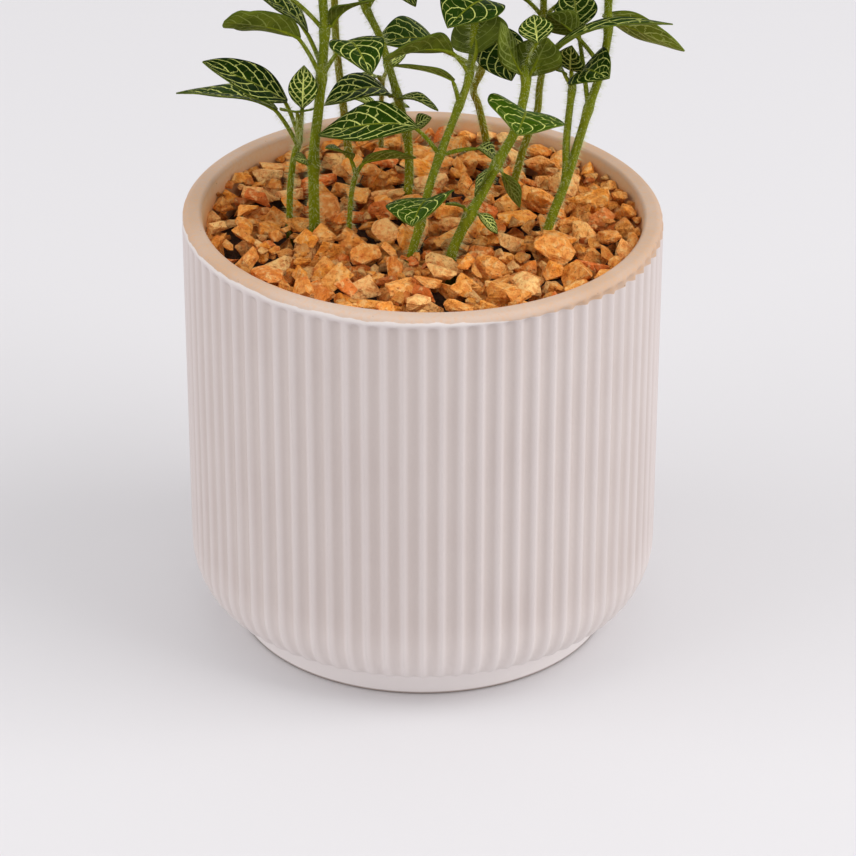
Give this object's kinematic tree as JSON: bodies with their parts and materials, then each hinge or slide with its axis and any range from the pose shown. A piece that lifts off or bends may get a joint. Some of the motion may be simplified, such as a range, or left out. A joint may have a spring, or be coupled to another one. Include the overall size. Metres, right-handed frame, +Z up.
{
  "type": "potted nerve plant",
  "caption": "Nerve plant with veined leaves on upright hairy stems, growing in a ribbed round stoneware pot topped with crushed ochre stone.",
  "frame": {"origin": "middle of the pot's foot, on the surface that it stands on", "axes": "+Z up along the pot's axis, the front of the pot faces -Y, +X to the right"},
  "size_m": [0.1551, 0.1483, 0.2476],
  "materials": {
    "pot": "matt warm-grey glaze over bare tan clay",
    "soil": "damp dark potting soil",
    "gravel": "dry crushed ochre stone",
    "leaf": "satin green with pale veins"
  },
  "bodies": {
    "root": {"pot": "pot", "soil": "soil", "gravel": "gravel", "leafyStem1": "leaf", "leafyStem2": "leaf", "leafyStem3": "leaf", "leafyStem4": "leaf", "leafyStem5": "leaf", "leafyStem6": "leaf", "leafyStem7": "leaf", "leafyStem8": "leaf", "leafyStem9": "leaf", "leafyStem10": "leaf", "leafyStem11": "leaf"}
  },
  "joints": []
}
